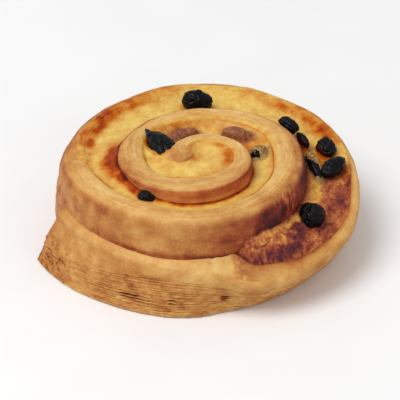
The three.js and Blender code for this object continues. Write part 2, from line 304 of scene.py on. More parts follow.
def noise(points, size, seed=0):
    """Smooth noise of about -1 to 1 with lumps of that size; size may differ along x, y and z."""
    q = points / np.array(size, float) + 31.7 * seed
    cell = np.floor(q).astype(int)
    f = q - cell
    ease = f**3 * (f * (f * 6 - 15) + 10)
    total = np.zeros(q.shape[:-1])
    for corner in np.ndindex(2, 2, 2):
        c = (cell + corner) & 255
        pick = LATTICE[(LATTICE[(LATTICE[c[..., 0]] + c[..., 1]) & 255] + c[..., 2]) & 255]
        share = np.prod(np.where(corner, ease, 1 - ease), axis=-1)
        total += share * np.sum(SLOPES[pick] * (f - np.array(corner)), axis=-1)
    return total * 1.8


def rough(points, size, octaves=3, seed=0):
    """Noise with finer noise on it, each half as strong and half as large."""
    size = np.array(size, float)
    return sum(noise(points, size / 2**k, seed + k) / 2**k for k in range(octaves))


def sharp(points, size, seed):
    """Noise with sharp crests, 1 along them."""
    return 1 - 2 * np.abs(noise(points, size, seed))


def flat_points(*coordinates):
    """Points for noise from two or three arrays."""
    arrays = np.broadcast_arrays(*coordinates)
    while len(arrays) < 3:
        arrays.append(np.zeros_like(arrays[0]))
    return np.stack(arrays, -1)


def normals_of(points):
    """The outward normals of a tube of rings, from its neighbours along and round."""
    lengthwise = np.gradient(points, axis=0)
    round_it = np.roll(points, -1, axis=1) - np.roll(points, 1, axis=1)
    normal = np.cross(round_it, lengthwise)
    return normal / np.maximum(np.linalg.norm(normal, axis=-1, keepdims=True), 1e-9)


def ring_turns(first, last, radius_of, step):
    """Turns from first to last, about a step apart along the coil."""
    fine = np.linspace(first, last, 4000)
    speed = 2 * np.pi * np.maximum(radius_of(fine), 3)
    length = np.concatenate([[0], np.cumsum((speed[1:] + speed[:-1]) / 2 * np.diff(fine))])
    count = int(length[-1] / step)
    return np.interp(np.linspace(0, length[-1], count), length, fine), np.linspace(0, length[-1], count)


def tube_faces(rings, columns):
    """The four-sided faces of a closed tube of rings."""
    a = np.arange(rings - 1)[:, None] * columns + np.arange(columns)[None, :]
    b = np.arange(rings - 1)[:, None] * columns + (np.arange(columns)[None, :] + 1) % columns
    return np.stack([a, b, b + columns, a + columns], -1).reshape(-1, 4)


def new_piece(name, points, faces, attributes, node_name):
    """A mesh piece in metres, smooth shaded, that stands for a CAD node."""
    mesh = bpy.data.meshes.new(name)
    mesh.from_pydata((points * MM).tolist(), [], [list(map(int, f)) for f in faces])
    mesh.validate()
    mesh.polygons.foreach_set("use_smooth", np.ones(len(mesh.polygons), bool))
    for key, values in attributes.items():
        layer = mesh.attributes.new(key, "FLOAT", "POINT")
        layer.data.foreach_set("value", np.asarray(values, np.float32).ravel())
    mesh.update()
    piece = bpy.data.objects.new(name, mesh)
    bpy.context.scene.collection.objects.link(piece)
    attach(piece, "root")
    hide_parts(node_name)
    return piece


def cap_rings(ring, inwards, shares):
    """Rings that close the end of a tube: the ring shrunk towards its middle, bent by inwards."""
    middle = ring.mean(axis=0)
    return [middle + (ring - middle) * share + inwards * (1 - share) for share in shares]


# The dough.


def tip_share(turn):
    """The ridge's inner tip is rounded off: the share of its full size at a turn."""
    s = np.clip((turn - FIRST_TURN) / TIP_TURNS, 0, 1)
    return TIP_SHARE + (1 - TIP_SHARE) * np.sqrt(1 - (1 - s) ** 2)


def wall_radius(turn):
    """How far out the face of the lap inside reaches at its shoulder."""
    return outer_edge(turn - 1) + along(SHOULDER_OUT, turn - 1)


def foot_radius(turn, face_radius):
    share = smooth(turn, FOOT_FROM, FOOT_FULL_FROM)
    return mix(face_radius, along(FOOT, turn), share)


def layer_columns(arc):
    """How far down the flaky part each column of its layers lies, from 0 at the top to 1 at the tray."""
    index = np.arange(LAYERS)[None, :]
    wobble = 0.42 * noise(flat_points(arc, index * 9.1), (26, 1, 1), 3)
    tops = (index + np.where(index == 0, 0, wobble)) / LAYERS
    bottoms = np.concatenate([tops[:, 1:], np.ones_like(arc)], axis=1)
    return (tops[:, :, None] + (bottoms - tops)[:, :, None] * COLUMNS_WITHIN_LAYER).reshape(len(arc), -1)


def layer_bumps(t, arc, down, heights):
    """How far the layers stand out: each by its own amount, which changes along it, and cut back where two
    meet. Also where the dark slits are, from 0 to 1."""
    index = np.arange(LAYERS)[None, :]
    stand = 0.35 * noise(flat_points(arc, index * 5.3), (9, 1, 1), 5)
    stand += 0.3 * noise(flat_points(arc, index * 7.7), (2.2, 1, 1), 6)
    bumps = (stand[:, :, None] + CUT_BACK * (1 + 0.8 * stand[:, :, None])).reshape(len(t), -1)
    broken = noise(flat_points(arc, heights), (7, 1.6, 1), 9)
    bumps = bumps * along(LAYER_RELIEF, t) * smooth(down, 0, 0.06) * (0.75 + 0.5 * broken)
    slits = np.zeros_like(bumps)
    for where, half_length, height, depth in SLITS:
        near = hump(t, where, half_length) * hump(heights, height, SLIT_HALF_HEIGHT)
        near = near * np.tile(AT_LAYER_EDGE, LAYERS)
        bumps = bumps - depth * near
        slits = np.maximum(slits, near)
    return bumps, slits


def inner_face_heights(t, face_height):
    """The heights of the face's columns on the laps inside, most of them above the custard."""
    count = UPPER_FACE_COLUMNS + LAYERS * len(COLUMNS_WITHIN_LAYER)
    v = np.arange(count) / count
    shown = np.minimum(along(SHOWN_DEPTH, t), face_height * 0.95)
    buried = np.clip((v - SHOWN_SHARE) / (1 - SHOWN_SHARE), 0, 1)
    above = face_height - shown * v / SHOWN_SHARE
    return np.where(v < SHOWN_SHARE, above, (face_height - shown) * (1 - buried) + 0.5)


def quarter(columns):
    """The angles of the columns round a quarter circle, without its end."""
    return np.arange(columns) / columns * np.pi / 2


def dough_rings(turn):
    """Every column's radius and height at each turn, and what is where: columns run from the inner foot
    over the crest and down the face to the outer foot, then back under the base."""
    t = turn[:, None]
    size = tip_share(t)
    half = ridge_half(t) * size
    rise = along(RISE_ACROSS_RIDGE, t) / 2
    top = ridge_height(t) - TIP_DROP * (1 - size)
    inner = ridge_middle(t) - half
    edge = ridge_middle(t) + half * FLAT_TOP_SHARE

    def crest_height(radius):
        u = np.clip((radius - inner) / (2 * half), 0, 1)
        climb = along(TAIL_CLIMB, t) * (1 - u) ** 2
        return top + rise * (2 * u - 1) + CREST_CROWN * 4 * u * (1 - u) - EDGE_SOFTENING * u**8 + climb

    out, drop = along(SHOULDER_OUT, t), along(SHOULDER_DROP, t)
    edge_height = crest_height(edge)
    face_radius, face_height = edge + out, edge_height - drop
    foot = foot_radius(t, face_radius)
    inner_foot = np.minimum(inner, foot - SHEET_AT_FOOT)

    v = np.arange(WALL_COLUMNS) / WALL_COLUMNS
    wall_top = crest_height(inner) - INNER_EDGE_DROP
    wall_heights = wall_top * (1 - (1 - v) ** 2.5)
    bend = np.maximum(wall_top - INNER_EDGE_STRIP, 1)
    wall_radii = mix(inner_foot, inner, np.clip(wall_heights / bend, 0, 1))

    a = quarter(EDGE_COLUMNS)
    round_size = np.minimum(INNER_EDGE_ROUND, 0.45 * half)
    round_radii = inner + round_size * (1 - np.cos(a))
    round_heights = crest_height(round_radii) - INNER_EDGE_DROP * (1 - np.sin(a))
    crest_radii = mix(inner + round_size, edge, np.arange(CREST_COLUMNS) / CREST_COLUMNS)
    a = quarter(SHOULDER_COLUMNS)
    shoulder_radii = edge + out * np.sin(a)
    shoulder_heights = edge_height - drop * (1 - np.cos(a))

    arc = t * 2 * np.pi * OUTER_LAP_RADIUS
    layers_top = np.minimum(along(LAYERS_TOP, t), face_height - 1.5)
    above_layers = mix(face_height, layers_top, np.arange(UPPER_FACE_COLUMNS) / UPPER_FACE_COLUMNS)
    down = layer_columns(arc)
    layer_heights = layers_top * (1 - down) + 0.3
    outer_lap = np.concatenate([above_layers, layer_heights], axis=1)
    on_outer_lap = smooth(t, OUTER_LAP_FROM, OUTER_LAP_FULL_FROM)
    face_heights = mix(inner_face_heights(t, face_height), outer_lap, on_outer_lap)
    up = np.clip(face_heights / face_height, 0, 1)
    face_radii = mix(foot, face_radius, up) + along(BULGE, t) * np.sin(np.pi * up)
    face_radii = face_radii + along(TOE, t) * np.exp(-face_heights / TOE_HEIGHT)
    bumps, slits = layer_bumps(t, arc, down, layer_heights)
    face_radii[:, UPPER_FACE_COLUMNS:] += bumps

    s = (np.arange(BASE_COLUMNS) + 0.5) / BASE_COLUMNS
    base_radii = mix(foot - 0.7, inner_foot + 0.3, s)

    parts = [
        (wall_radii, wall_heights, "wall"),
        (round_radii, round_heights, "crest"),
        (crest_radii, crest_height(crest_radii), "crest"),
        (shoulder_radii, shoulder_heights, "shoulder"),
        (face_radii, face_heights, "face"),
        (base_radii, np.zeros_like(base_radii), "base"),
    ]
    radius = np.concatenate([np.broadcast_to(r, (len(turn), r.shape[1])) for r, _, _ in parts], axis=1)
    height = np.concatenate([np.broadcast_to(z, (len(turn), z.shape[1])) for _, z, _ in parts], axis=1)
    part = np.array([name for r, _, name in parts for _ in range(r.shape[1])])
    cracks, grooves = np.zeros_like(radius), np.zeros_like(radius)
    first = np.argmax(part == "face") + UPPER_FACE_COLUMNS
    cracks[:, first : first + slits.shape[1]] = slits
    grooves[:, first : first + slits.shape[1]] = np.clip(-bumps, 0, 1)
    across = (radius - inner) / (2 * half)
    depth = edge_height + EDGE_SOFTENING - height
    return radius, height, part, across, depth, cracks, grooves


# How softly the custard runs up onto the dough outside it, and how dark the line between them is.
RIM_BLEND = [
    [-0.13, 0], [0, 0.9], [0.3, 0.9], [0.6, 0.6], [0.75, 0.4], [1, 0.5], [1.15, 0.8], [1.4, 0.6],
    [1.55, 0.2], [1.9, 0.3], [2.02, 1],
]
RIM_LINE = [
    [0.3, 0], [0.45, 0.2], [0.6, 0.6], [0.75, 1], [1, 0.6], [1.15, 0.3], [1.4, 0.6], [1.5, 1.2], [1.9, 1],
    [2.02, 0.1], [2.2, 0],
]
# How dark the custard is painted along the foot of the lap inside it, as [turn, strength]: painted shade in
# that crease.
WALL_SHADE = [[0.9, 0.15], [1.04, 0.3], [1.14, 1], [1.5, 1], [2.1, 1.6], [2.4, 1.4], [2.6, 0.6]]


# How brown the dough is, from 0 for pale cream to 1 for nearly black, as [turn, value].
CREST_BROWN = [
    [-0.14, 0.42], [-0.03, 0.38], [0.03, 0.4], [0.09, 0.22], [0.3, 0.17], [0.6, 0.22], [0.75, 0.24],
    [0.95, 0.24], [1.1, 0.18], [1.5, 0.22], [1.66, 0.22], [1.75, 0.26], [1.85, 0.24], [1.92, 0.18],
    [1.98, 0.22], [2.04, 0.28], [2.1, 0.34], [2.18, 0.36], [2.25, 0.26], [2.32, 0.26], [2.4, 0.36],
    [2.45, 0.3], [2.5, 0.22], [2.58, 0.28], [2.63, 0.34], [2.68, 0.32], [2.72, 0.3], [2.8, 0.27],
    [2.87, 0.28], [2.91, 0.34], [2.963, 0.42],
]
FACE_BROWN = [
    [-0.14, 0.4], [0.3, 0.4], [0.5, 0.6], [0.58, 0.58], [0.66, 0.46], [0.78, 0.42], [0.86, 0.43],
    [0.98, 0.48], [1.1, 0.42], [1.3, 0.5], [1.42, 0.76], [1.5, 0.84], [1.6, 0.83], [1.66, 0.78],
    [1.7, 0.62], [1.74, 0.47], [1.8, 0.43], [1.9, 0.47], [1.97, 0.5], [2.05, 0.48], [2.3, 0.46],
    [2.5, 0.36], [2.6, 0.38], [2.7, 0.36], [2.8, 0.35], [2.9, 0.4], [2.963, 0.46],
]
# How red that brown is, as [turn, value].
FACE_RED = [
    [0, 0.2], [0.5, 0.9], [0.62, 1], [0.82, 0.8], [0.95, 0.4], [1.3, 0.4], [1.45, 1], [1.64, 1],
    [1.72, 0.35], [1.8, 0.12], [1.95, 0.05], [2.1, 0.3], [2.5, 0.1], [2.963, 0.0],
]
# How far below the shoulder's edge the face is fully brown, as [turn, depth].
FULL_BROWN_DEPTH = [
    [0, 1.2], [0.6, 1], [1, 1.6], [1.4, 2.4], [1.6, 3], [1.75, 3.6], [1.85, 2.6], [2, 1.8], [2.1, 3],
    [2.3, 3], [2.963, 3],
]

# Where the crest's inner part is coated with custard, as [turn, share of its width].
CREAM = [
    [-0.14, -0.5], [0, -0.2], [0.15, 0.1], [0.9, 0.1], [1.15, 0.25], [1.4, 0.2], [1.5, 0.05],
    [1.95, 0.05], [2.03, 0.5], [2.1, 0.6], [2.25, 0.75], [2.36, 0.85], [2.44, 0.5], [2.5, 0.05], [2.963, 0],
]

# Browner and paler places on the dough: turn, half length in turns, where it is, half width, and how
# much browner. On the crest, where it is and the half width are shares of its width. On the face they
# are millimetres below its edge.
CREST_PLACES = [
    (0.5, 0.08, 0.98, 0.16, 0.18),
    (0.62, 0.08, 0.9, 0.3, 0.16),
    (0.94, 0.08, 0.96, 0.2, 0.26),
    (1.0, 0.05, 0.05, 0.12, 0.14),
    (1.2, 0.05, 0.0, 0.14, 0.2),
    (1.12, 0.08, 1.0, 0.09, 0.42),
    (1.3, 0.1, 1.0, 0.05, 0.4),
    (1.0, 0.08, 0.62, 0.1, 0.1),
    (1.0, 0.08, 0.3, 0.1, 0.1),
    (2.08, 0.06, 0.2, 0.3, 0.26),
    (1.35, 0.06, 0.0, 0.14, 0.16),
    (1.47, 0.07, 0.98, 0.2, 0.24),
    (1.6, 0.07, 0.95, 0.25, 0.3),
    (1.96, 0.05, 0.0, 0.12, 0.2),
    (1.98, 0.06, 1.0, 0.4, 0.12),
    (2.95, 0.04, 0.0, 0.6, 0.2),
    (2.02, 0.03, 0.05, 0.25, 0.25),
    (2.1, 0.08, 1.0, 0.3, 0.3),
    (2.25, 0.1, 1.0, 0.22, 0.3),
    (2.38, 0.06, 1.0, 0.3, 0.24),
    (2.47, 0.03, 0.0, 0.3, 0.5),
    (2.55, 0.06, 0.0, 0.4, 0.36),
    (2.63, 0.04, 0.05, 0.45, 0.34),
    (2.69, 0.02, 0.0, 0.3, 0.2),
    (2.698, 0.01, 0.5, 0.6, 0.26),
    (2.79, 0.05, 0.9, 0.3, -0.04),
]
FACE_PLACES = [
    (1.965, 0.025, 12.5, 4, 0.02),
    (0.7, 0.2, 4.8, 1, -0.16),
    (0.56, 0.03, 2.5, 2, 0.12),
    (1.66, 0.06, 15.5, 4, 0.36),
    (1.64, 0.03, 8, 5, 0.12),
    (1.6, 0.035, 3.5, 1.6, -0.2),
    (1.72, 0.02, 9, 4, 0.12),
    (1.9, 0.05, 12, 3, 0.08),
    (2.955, 0.012, 17, 3, 0.14),
    (2.74, 0.04, 3, 2, -0.08),
]
# Places on the crest that lie further across than this run on over the shoulder.
OVER_SHOULDER_FROM = 0.8
# Stands for no lap near by, in millimetres.
FAR_AWAY = 9.0

# The dough's ends: how far they bulge, and the sizes of the rings that close them.
INNER_END_BEND = 0.4
TAIL_END_BEND = 0.6
END_SHARES = [0.8, 0.6, 0.4, 0.2, 0.06]


def dough_section(turn, arc):
    """The smooth dough's points, with the part of the section and the place on it that each belongs to."""
    radius, height, part, across, depth, crack, groove = dough_rings(turn)
    t = np.broadcast_to(turn[:, None], radius.shape)
    points = place(t, radius, height)
    steps = np.linalg.norm(np.diff(points, axis=1, prepend=points[:, :1]), axis=-1)
    return SimpleNamespace(
        t=t,
        arc=np.broadcast_to(arc[:, None], radius.shape),
        girth=np.cumsum(steps, axis=1),
        points=points,
        height=height,
        across=across,
        depth=depth,
        crack=crack,
        groove=groove,
        **{name: np.broadcast_to(part == name, t.shape) for name in PARTS},
    )


def dough_marks(s):
    """The marks on the dough, each as noise or as a share from 0 to 1 at every point."""
    m = SimpleNamespace()
    # The cut edge of the dough shows its layers as fine lines along the crest.
    lengthwise = flat_points(s.arc, s.girth, s.t * 3)
    m.lines = noise(lengthwise, (38, 1.3, 1), 11) + 0.6 * noise(lengthwise, (22, 0.7, 1), 12)
    m.bands = noise(lengthwise, (60, 2.6, 1), 14)
    m.open_top = s.crest * between(s.across, 0.04, 0.2, 0.9, 1) * (1 - smooth(s.t, 2.4, 2.6))
    m.ripple = noise(flat_points(s.arc, s.height, s.t), (5, 1.7, 1), 15)
    # The second lap's face is wrinkled at the right, with a few raised strands, painted paler as a
    # highlight.
    m.wrinkled = s.face * between(s.t, 1.42, 1.5, 1.64, 1.72)
    bent = flat_points(s.arc + 1.5 * noise(s.points, 4, 16), s.height + 1.5 * noise(s.points, 4, 17))
    m.wrinkle = rough(bent, (3.2, 4, 1), 2, 18)
    strand = smooth(sharp(bent, (1.5, 8, 1), 19), 0.2, 0.8)
    m.strand = strand * hump(s.t, 1.604, 0.022) * between(s.depth, 0.5, 1.5, 7, 9)
    # The foot is flaky with crumbs, and pitted towards the tail's end. The crust at the left is pitted too.
    m.flaky = np.clip(along(LAYER_RELIEF, s.t), 0, 1) * s.face * smooth(-s.height, -16, -9)
    m.crumb = smooth(noise(s.points, (1.5, 1.5, 1.0), 20), 0.25, 0.55) * m.flaky
    pitted = 2.4 * smooth(s.t, 2.9, 2.95) * smooth(-s.height, -13, -6) + 0.7 * smooth(s.t, 2.6, 2.8)
    pits = smooth(rough(s.points, (1.9, 1.9, 1.2), 2, 34), 0.3, 0.6) * np.clip(pitted * m.flaky, 0, 1)
    crust = s.face * hump(s.t, 1.985, 0.035) * hump(s.depth, 12, 8)
    m.pits = np.maximum(pits, 0.5 * crust * smooth(rough(s.points, 2.4, 2, 35), 0.2, 0.5))
    # A pale block of dough lies where the tail begins, with chips beside it.
    block = smooth(s.t + 0.002 * noise(s.points, 3, 26), 2.708, 2.711) * (1 - smooth(s.t, 2.733, 2.739))
    m.block = block * s.crest * between(s.across, -0.1, 0.05, 0.85, 0.95)
    chips = smooth(noise(s.points, 1.7, 27), 0.2, 0.4) * hump(s.t, 2.702, 0.01)
    m.chips = chips * s.crest * smooth(s.across, 0.2, 0.4)
    return m


def dough_relief(s, m):
    """How far each point stands out from the smooth dough, in millimetres."""
    swell = 0.3 * noise(s.points, 11, 1) + 0.12 * noise(s.points, 4.5, 2)
    pimples = 0.05 * noise(s.points, 1.6, 4)
    blister = np.clip(noise(s.points, 6.5, 8) - 0.45, 0, 1) * 1.1 * s.face * smooth(s.t, 1.6, 1.7)
    scales = 0.22 * noise(flat_points(s.arc, s.height, s.t), (2.4, 1.1, 1), 13) * m.flaky
    relief = swell + pimples + 0.12 * (m.lines + m.bands) * m.open_top + blister + scales
    relief = relief + 0.09 * m.ripple * s.face + 0.3 * m.wrinkle * m.wrinkled + 0.3 * m.strand
    relief = relief + 0.2 * m.crumb - 0.35 * m.pits + 0.25 * m.block + 0.3 * m.chips
    return np.where(s.base, 0, relief * smooth(s.height, 0, 1.2))


def dough_colour(s, m, points):
    """How brown, how red and how coated with custard the dough is at its finished points."""
    side = s.shoulder | s.face
    crest_brown = along(CREST_BROWN, s.t)
    deep = smooth(s.depth, 0.2, along(FULL_BROWN_DEPTH, s.t))
    brown = np.where(s.crest, crest_brown, 0)
    brown = np.where(side, mix(crest_brown, along(FACE_BROWN, s.t), deep), brown)
    brown = np.where(s.wall, mix(0.3, crest_brown, smooth(-s.depth, -4, -1)), brown)
    brown = np.where(s.base, 0.52 + 0.16 * rough(points, 9, 3, 21), brown)
    red = np.where(side, along(FACE_RED, s.t) * deep, 0.08)
    red = np.where(s.base, 0.3, red)
    for where, half_length, at, half_width, amount in CREST_PLACES:
        chosen = s.crest | (s.shoulder & (at > OVER_SHOULDER_FROM))
        brown = brown + amount * chosen * hump(s.t, where, half_length) * hump(s.across, at, half_width)
    for where, half_length, at, half_width, amount in FACE_PLACES:
        brown = brown + amount * side * hump(s.t, where, half_length) * hump(s.depth, at, half_width)
    # Painted shade: the low crease where the tail comes to lie against the lap inside it is darkened and
    # reddened.
    tail_top = ridge_height(np.clip(s.t + 1, 2.66, LAST_TURN))
    crease = s.face * hump(s.height, tail_top + 0.6, 1.3) * between(s.t, 1.66, 1.7, 1.83, 1.93)
    brown = brown + 0.3 * crease
    red = red + 0.25 * crease
    brown = brown + 0.08 * rough(points, 12, 3, 23) + (0.05 * m.lines + 0.1 * m.bands) * m.open_top
    brown = brown + side * (0.05 * m.ripple + 0.09 * rough(points, 4.5, 3, 24))
    reach = along(CREAM, s.t) + 0.12 * noise(points, 4, 25)
    cream = s.crest * (1 - smooth(s.across, reach - 0.15, reach + 0.15))
    far = np.full_like(s.t, FAR_AWAY)
    brown = mix(brown, custard_brown(points, s.t, np.ones_like(s.t), s.arc, far, far), cream)
    # The raised strands are painted paler: a painted highlight on their ridges.
    brown = brown - 0.14 * m.wrinkled * m.wrinkle - 0.42 * m.strand
    # The pits are darkened: painted shade in them.
    brown = brown - 0.12 * m.crumb + 0.3 * m.pits - 0.14 * m.block - 0.2 * m.chips
    at_edge = s.crest * (1 - smooth(s.across, 0.0, 0.06))
    brown = brown + 0.2 * at_edge * np.minimum(along(RIM_LINE, s.t), 1)
    # Painted shade: the cut-back edges of the flaky layers and the slits between them are darkened.
    brown = brown + 0.45 * np.clip(s.groove, 0, 1) + 0.6 * s.crack
    return brown, np.clip(red, 0, 1), cream


def close_ends(points, fields):
    """The dough with both ends closed by shrinking rings, on which its layers show as steps by height."""
    rings, columns = points.shape[:2]
    faces = [tube_faces(rings, columns)]
    grids = [points.reshape(-1, 3)]
    values = {key: [value.ravel()] for key, value in fields.items()}
    start = rings * columns
    for end, beside, bend, on_tail in (
        (0, 1, INNER_END_BEND, 0.0),
        (rings - 1, rings - 2, TAIL_END_BEND, 1.0),
    ):
        order = 1 if on_tail else -1
        ahead = (points[end] - points[beside]).mean(axis=0)
        ahead /= np.linalg.norm(ahead)
        shown = {key: value[end] for key, value in fields.items()}
        shown["brown"] = shown["brown"] + 0.1 * on_tail
        shown["flaky"] = np.full(columns, on_tail)
        shown["crest"] = shown["cream"] = np.zeros(columns)
        previous = end * columns + np.arange(columns)
        for ring in cap_rings(points[end], ahead * bend, END_SHARES):
            layers = noise(flat_points(ring[:, 2], ring[:, 0] * 0.2), (1.1, 1, 1), 31)
            ring = ring + ahead * (0.45 * layers)[:, None]
            ring[:, 2] = np.maximum(ring[:, 2], 0)
            now = start + np.arange(columns)
            quads = np.stack([previous, np.roll(previous, -1), np.roll(now, -1), now], -1)
            faces.append(quads[:, ::order])
            grids.append(ring)
            for key in values:
                values[key].append(shown[key])
            previous = now
            start += columns
        grids.append(ring.mean(axis=0)[None])
        fan = np.stack([previous, np.roll(previous, -1), np.full(columns, start)], -1)
        faces.append(fan[:, ::order])
        for key in values:
            values[key].append(np.array([shown[key].mean()]))
        start += 1
    all_faces = [tuple(f) for group in faces for f in group.tolist()]
    return np.concatenate(grids), all_faces, {key: np.concatenate(value) for key, value in values.items()}


def make_dough():
    turn, arc = ring_turns(FIRST_TURN, LAST_TURN, ridge_middle, RING_STEP)
    section = dough_section(turn, arc)
    marks = dough_marks(section)
    points = section.points + normals_of(section.points) * dough_relief(section, marks)[..., None]
    points[..., 2] = np.maximum(points[..., 2], 0)
    brown, red, cream = dough_colour(section, marks, points)
    fields = {
        "brown": brown,
        "red": red,
        "arc": section.arc,
        "girth": section.girth,
        "crest": marks.open_top,
        "flaky": marks.flaky,
        "cream": cream,
    }
    points, faces, fields = close_ends(points, fields)
    fields["brown"] = np.clip(fields["brown"], 0, 1)
    return new_piece("dough_baked", points, faces, fields, "dough_coil")


# The custard.

# Browner places in the custard: turn, share across from the inner lap to the outer one, half length in
# turns, half width as a share, and how much browner. The dark ones from turn 1.1 to 1.41 in the inner half
# are painted shade in the low groove beside the first lap.
CUSTARD_PLACES = [
    (0.28, 0.96, 0.07, 0.16, 0.1),
    (0.4, 0.88, 0.08, 0.2, 0.24),
    (0.5, 0.86, 0.07, 0.2, 0.26),
    (0.62, 0.82, 0.09, 0.13, 0.28),
    (0.76, 0.95, 0.12, 0.07, 0.28),
    (1.14, 0.3, 0.04, 0.5, 0.62),
    (1.2, 0.08, 0.07, 0.35, 0.62),
    (1.3, 0.06, 0.07, 0.26, 0.5),
    (1.24, 0.9, 0.12, 0.16, 0.22),
    (1.41, 0.35, 0.04, 0.4, 0.4),
    (1.1, 0.5, 0.035, 0.5, 0.6),
    (1.26, 0.28, 0.12, 0.1, 0.35),
    (1.5, 0.02, 0.05, 0.14, 0.4),
    (1.6, 0.02, 0.1, 0.12, 0.34),
    (1.74, 0.03, 0.08, 0.12, 0.38),
    (1.8, 0.14, 0.05, 0.16, 0.26),
    (1.88, 0.2, 0.025, 0.22, 0.44),
    (1.9, 0.6, 0.06, 0.3, 0.12),
    (1.93, 0.12, 0.035, 0.22, 0.5),
    (1.975, 0.22, 0.03, 0.26, 0.5),
    (2.015, 0.14, 0.04, 0.2, 0.55),
    (1.96, 0.92, 0.07, 0.1, 0.2),
    (2.0, 0.5, 0.04, 0.4, 0.1),
    (2.05, 0.9, 0.04, 0.16, 0.3),
    (2.12, 0.95, 0.05, 0.14, 0.24),
    (2.29, 0.25, 0.015, 0.2, 0.3),
    (2.08, 0.92, 0.05, 0.18, 0.26),
    (2.17, 0.97, 0.05, 0.16, 0.3),
    (2.24, 0.8, 0.02, 0.2, 0.14),
    (2.36, 0.97, 0.05, 0.18, 0.32),
    (2.41, 0.9, 0.03, 0.2, 0.36),
    (2.4, 0.1, 0.03, 0.2, 0.3),
    (2.46, 0.05, 0.05, 0.16, 0.5),
    (2.46, 0.4, 0.03, 0.25, 0.3),
]
CARAMEL_FROM = 2.46
CARAMEL_FULL_FROM = 2.51
STRAND_SIZE = (1.3, 5, 1)
STRAND_SEED = 44

# How far the wet strip reaches across the custard, as [turn, share].
WET_WIDTH = [[2.45, 0.2], [2.48, 0.3], [2.545, 0.3], [2.6, 0.2], [2.65, 0.14], [2.7, 0.1]]

# The dark tongue: turn, where its middle lies across the custard, and its half width.
TONGUE = [[2.585, 0.3, 0.1], [2.61, 0.45, 0.14], [2.63, 0.66, 0.16], [2.65, 0.74, 0.17], [2.7, 0.72, 0.24]]
SKIN_FROM = 0.3
SKIN_BLEND = 0.5
CUSTARD_COLUMNS = 38
CUSTARD_STEP = 0.5
UNDER_DOUGH = 0.9
UNDER_RINGS = 5
UNDERSIDE_BROWN = 0.5


def raisin_middle(raisin):
    return place(*[np.array(float(v)) for v in raisin["at"]])


def lean_of(raisin):
    """How a raisin lies, as a rotation: about Z first, then Y, then X, as its solid is turned."""
    about = []
    for axis, degrees in enumerate(raisin["lean"]):
        angles = [0.0, 0.0, 0.0]
        angles[axis] = np.radians(degrees)
        about.append(np.array(Euler(angles).to_matrix()))
    return about[0] @ about[1] @ about[2]


def seen_from_above(raisin, points, thicker=0.0):
    """A raisin's top at each point, and how far the point is outside its outline, in millimetres."""
    turned = lean_of(raisin)
    half = np.array(raisin["half"], float)
    form = turned @ np.diag((half + thicker) ** -2.0) @ turned.T
    middle = raisin_middle(raisin)
    dx, dy = points[..., 0] - middle[0], points[..., 1] - middle[1]
    a = form[2, 2]
    b = form[0, 2] * dx + form[1, 2] * dy
    c = form[0, 0] * dx**2 + 2 * form[0, 1] * dx * dy + form[1, 1] * dy**2
    inside = b**2 - a * (c - 1)
    lift = np.where(inside > 0, np.sqrt(np.abs(inside)), -2 * np.sqrt(np.abs(inside)))
    outline = np.sqrt(np.maximum(c - b**2 / a, 0))
    return middle[2] + (lift - b) / a, (outline - 1) * half[:2].mean()


def round_raisins(points, reach):
    """How near each point is to a raisin seen from above: 1 at its outline, 0 at reach beyond it."""
    near = np.zeros(points.shape[:-1])
    for raisin in RAISINS:
        outside = seen_from_above(raisin, points)[1]
        near = np.maximum(near, 1 - smooth(outside, 0, reach))
    return near


def over_raisins(points):
    """Lifts the custard's skin over the raisins that it covers, with thin places where they show."""
    height = points[..., 2]
    for number, raisin in enumerate(RAISINS):
        if raisin["cover"] < SKIN_FROM:
            continue
        thin = smooth(noise(points, 2.6, 80 + number), raisin["cover"] - 0.6, raisin["cover"] - 0.3)
        if "bare" in raisin:
            middle = raisin_middle(raisin)
            aside = (points[..., :2] - middle[:2]) @ np.array(raisin["bare"]) / raisin["half"][1]
            aside = aside - raisin.get("bare_from", 0)
            thin = smooth(aside + 0.4 * noise(points, 1.6, 80 + number), 0.0, 0.5)
        mound = seen_from_above(raisin, points, 0.35)[0] - 0.9 * thin
        gap = height - mound
        height = (height + mound + np.sqrt(gap**2 + SKIN_BLEND**2)) / 2
    points[..., 2] = height


def film_shares(points):
    """Where the skin over and near the covered raisins is stained: how much, and how olive it is."""
    share, olive = np.zeros(points.shape[:-1]), np.zeros(points.shape[:-1])
    ragged = 0.8 * noise(points, 3, 91) + 0.4 * noise(points, 1.4, 92)
    for raisin in RAISINS:
        if raisin["cover"] < SKIN_FROM:
            continue
        near = 1 - smooth(seen_from_above(raisin, points)[1] + ragged, 0.2, 2.4)
        olive = np.where(near > share, float(raisin["skin"] == "olive"), olive)
        share = np.maximum(share, near)
    return share, olive


def strip_level(turn, share):
    """The strip's height, dished a little between the lap inside it and the lap outside it."""
    level = mix(along(CUSTARD_LOW, turn), along(CUSTARD_HIGH, turn), np.clip(share, 0, 1))
    return level - CUSTARD_DISH * 4 * np.clip(share * (1 - share), 0, 1)


def caramel_share(turn):
    return smooth(turn, CARAMEL_FROM, CARAMEL_FULL_FROM)


def warped_strip(points, arc, to_wall):
    """Coordinates along and across the custard, bent by noise so that nothing runs straight."""
    return flat_points(arc + 2.4 * noise(points, 6, 41), to_wall + 1.5 * noise(points, 5, 42))


def wet_share(points, turn, share):
    """The bright wet strip of custard along the foot of the lap inside, at the right and the front."""
    width = along(WET_WIDTH, turn) + 0.06 * rough(points, 4, 2, 61)
    return (1 - smooth(share, width - 0.06, width + 0.05)) * between(turn, 2.455, 2.485, 2.685, 2.7)


def tongue_share(points, turn, share):
    """The dark wrinkled tongue near the custard's end."""
    ragged = 0.07 * rough(points, 4, 3, 58)
    across = hump(share + ragged, along(TONGUE, turn, 1), along(TONGUE, turn, 2))
    return np.clip(1.9 * across, 0, 1) * smooth(turn + 0.1 * ragged, 2.575, 2.61)


